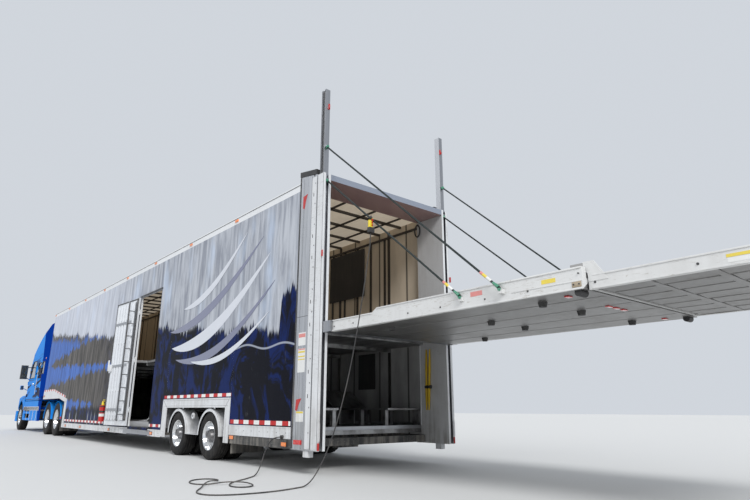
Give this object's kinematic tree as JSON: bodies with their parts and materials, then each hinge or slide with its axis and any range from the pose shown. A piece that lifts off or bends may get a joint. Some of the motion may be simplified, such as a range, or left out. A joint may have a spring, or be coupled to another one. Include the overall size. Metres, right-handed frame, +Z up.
{
  "type": "enclosed car transporter truck",
  "caption": "Articulated enclosed car transporter: sleeper tractor and two-level box trailer with a rear lift and a folding loading platform.",
  "frame": {"origin": "centre of the vehicle's plan on the ground it stands on", "axes": "+Z up, the front faces -Y, +X is the driver's side"},
  "size_m": [4.5495, 28.6, 5.48],
  "materials": {
    "livery": "gloss",
    "roof_paint": "satin",
    "bow": "satin",
    "black_frame": "satin",
    "floor_plate": "worn",
    "post_metal": "brushed",
    "black_plastic": "matt",
    "header_paint": "gloss",
    "bright_trim": "polished",
    "axle_black": "satin",
    "door_white": "gloss",
    "ladder_metal": "satin",
    "safety_red": "gloss",
    "lamp": "gloss",
    "mast_metal": "satin",
    "cable": "satin",
    "platform_metal": "satin",
    "tyre": "matt",
    "cast": "raw",
    "azure": "gloss",
    "window": "clear",
    "cloth_seat": "woven",
    "dash_plastic": "grained",
    "lens": "clear",
    "chrome": "polished",
    "pendant_yellow": "satin",
    "cord_rubber": "matt"
  },
  "bodies": {
    "trailer": {"side_wall_left": "livery", "side_wall_right": "livery", "nose_wall": "livery", "roof": "roof_paint", "hoops": "bow", "trailer_frame": "black_frame", "lower_floor": "floor_plate", "upper_deck": "floor_plate", "corner_posts": "post_metal", "post_caps": "black_plastic", "rear_header": "header_paint", "arch_frames": "bright_trim", "trailer_fenders": "bright_trim", "trailer_axles": "axle_black", "rear_rail": "black_frame", "cord_socket": "black_plastic", "kingpin_plate": "cast", "landing_legs": "black_frame", "side_step": "ladder_metal", "extinguisher": "safety_red", "lamps": "lamp", "cord_ground": "cord_rubber", "cord_rise": "cord_rubber"},
    "tractor": {"tractor_frame": "black_frame", "fifth_wheel": "cast", "engine": "cast", "cab_shell": "azure", "cab_glass": "window", "seats": "cloth_seat", "dashboard": "dash_plastic", "bumper": "azure", "side_fairings": "azure", "drive_fenders": "azure", "tractor_axles": "axle_black"},
    "lift": {"lift_frame": "mast_metal", "lift_cables": "cable", "pendant": "pendant_yellow"},
    "platform": {"platform": "platform_metal"},
    "outer_deck": {"outer_deck": "platform_metal"},
    "side_door": {"side_door": "door_white", "ladder": "ladder_metal"},
    "cab_door_left": {"cab_door_left": "azure", "door_glass_left": "window"},
    "cab_door_right": {"cab_door_right": "azure", "door_glass_right": "window"},
    "hood": {"hood": "azure", "headlamps": "lens", "grille": "chrome"},
    "knuckle_left": {"knuckle_left": "cast"},
    "knuckle_right": {"knuckle_right": "cast"},
    "steer_wheel_left": {"steer_wheel_left": "tyre"},
    "steer_wheel_right": {"steer_wheel_right": "tyre"},
    "drive_wheel_front_left": {"drive_wheel_front_left": "tyre"},
    "drive_wheel_front_right": {"drive_wheel_front_right": "tyre"},
    "drive_wheel_rear_left": {"drive_wheel_rear_left": "tyre"},
    "drive_wheel_rear_right": {"drive_wheel_rear_right": "tyre"},
    "trailer_wheel_front_left": {"trailer_wheel_front_left": "tyre"},
    "trailer_wheel_front_right": {"trailer_wheel_front_right": "tyre"},
    "trailer_wheel_rear_left": {"trailer_wheel_rear_left": "tyre"},
    "trailer_wheel_rear_right": {"trailer_wheel_rear_right": "tyre"}
  },
  "joints": [
    {"name": "coupling_turn", "type": "hinge", "parent": "trailer", "child": "tractor", "pos_m": [0, -7.64, 1.13], "axis": [0, 0, 1], "range_deg": [-80, 80]},
    {"name": "lift_slide", "type": "slide", "parent": "trailer", "child": "lift", "axis": [0, 0, -1], "range_m": [0, 1.7], "deforming": ["cord_rise"]},
    {"name": "platform_fold", "type": "hinge", "parent": "lift", "child": "platform", "pos_m": [0, 8.32, 1.9], "axis": [1, 0, 0], "range_deg": [0, 90]},
    {"name": "outer_fold", "type": "hinge", "parent": "platform", "child": "outer_deck", "pos_m": [0, 11.956, 2.02], "axis": [1, 0, 0], "range_deg": [0, 180]},
    {"name": "side_door_swing", "type": "hinge", "parent": "trailer", "child": "side_door", "pos_m": [1.305, 0.85, 0], "axis": [0, 0, 1], "range_deg": [0, 176]},
    {"name": "cab_door_left_swing", "type": "hinge", "parent": "tractor", "child": "cab_door_left", "pos_m": [1.2, -12.2, 0], "axis": [0, 0, -1], "range_deg": [0, 70]},
    {"name": "cab_door_right_swing", "type": "hinge", "parent": "tractor", "child": "cab_door_right", "pos_m": [-1.2, -12.2, 0], "axis": [0, 0, 1], "range_deg": [0, 70]},
    {"name": "hood_tilt", "type": "hinge", "parent": "tractor", "child": "hood", "pos_m": [0, -14.262, 0.758], "axis": [1, 0, 0], "range_deg": [0, 65]},
    {"name": "steer_left", "type": "hinge", "parent": "tractor", "child": "knuckle_left", "pos_m": [0.905, -13.05, 0.5], "axis": [0, 0, 1], "range_deg": [-38, 38]},
    {"name": "steer_right", "type": "hinge", "parent": "tractor", "child": "knuckle_right", "pos_m": [-0.905, -13.05, 0.5], "axis": [0, 0, 1], "range_deg": [-38, 38]},
    {"name": "steer_wheel_left_spin", "type": "hinge", "parent": "knuckle_left", "child": "steer_wheel_left", "pos_m": [1.035, -13.05, 0.5], "axis": [1, 0, 0], "continuous": true},
    {"name": "drive_wheel_rear_left_spin", "type": "hinge", "parent": "tractor", "child": "drive_wheel_rear_left", "pos_m": [0.93, -6.4, 0.5], "axis": [1, 0, 0], "continuous": true},
    {"name": "drive_wheel_front_left_spin", "type": "hinge", "parent": "tractor", "child": "drive_wheel_front_left", "pos_m": [0.93, -7.7, 0.5], "axis": [1, 0, 0], "continuous": true},
    {"name": "trailer_wheel_rear_left_spin", "type": "hinge", "parent": "trailer", "child": "trailer_wheel_rear_left", "pos_m": [1.01, 5, 0.385], "axis": [1, 0, 0], "continuous": true},
    {"name": "trailer_wheel_front_left_spin", "type": "hinge", "parent": "trailer", "child": "trailer_wheel_front_left", "pos_m": [1.01, 3.65, 0.385], "axis": [1, 0, 0], "continuous": true},
    {"name": "steer_wheel_right_spin", "type": "hinge", "parent": "knuckle_right", "child": "steer_wheel_right", "pos_m": [-1.035, -13.05, 0.5], "axis": [1, 0, 0], "continuous": true},
    {"name": "drive_wheel_rear_right_spin", "type": "hinge", "parent": "tractor", "child": "drive_wheel_rear_right", "pos_m": [-0.93, -6.4, 0.5], "axis": [1, 0, 0], "continuous": true},
    {"name": "drive_wheel_front_right_spin", "type": "hinge", "parent": "tractor", "child": "drive_wheel_front_right", "pos_m": [-0.93, -7.7, 0.5], "axis": [1, 0, 0], "continuous": true},
    {"name": "trailer_wheel_rear_right_spin", "type": "hinge", "parent": "trailer", "child": "trailer_wheel_rear_right", "pos_m": [-1.01, 5, 0.385], "axis": [1, 0, 0], "continuous": true},
    {"name": "trailer_wheel_front_right_spin", "type": "hinge", "parent": "trailer", "child": "trailer_wheel_front_right", "pos_m": [-1.01, 3.65, 0.385], "axis": [1, 0, 0], "continuous": true}
  ],
  "couplings": [
    {"joint": "steer_right", "follows": "steer_left", "ratio": 1}
  ]
}
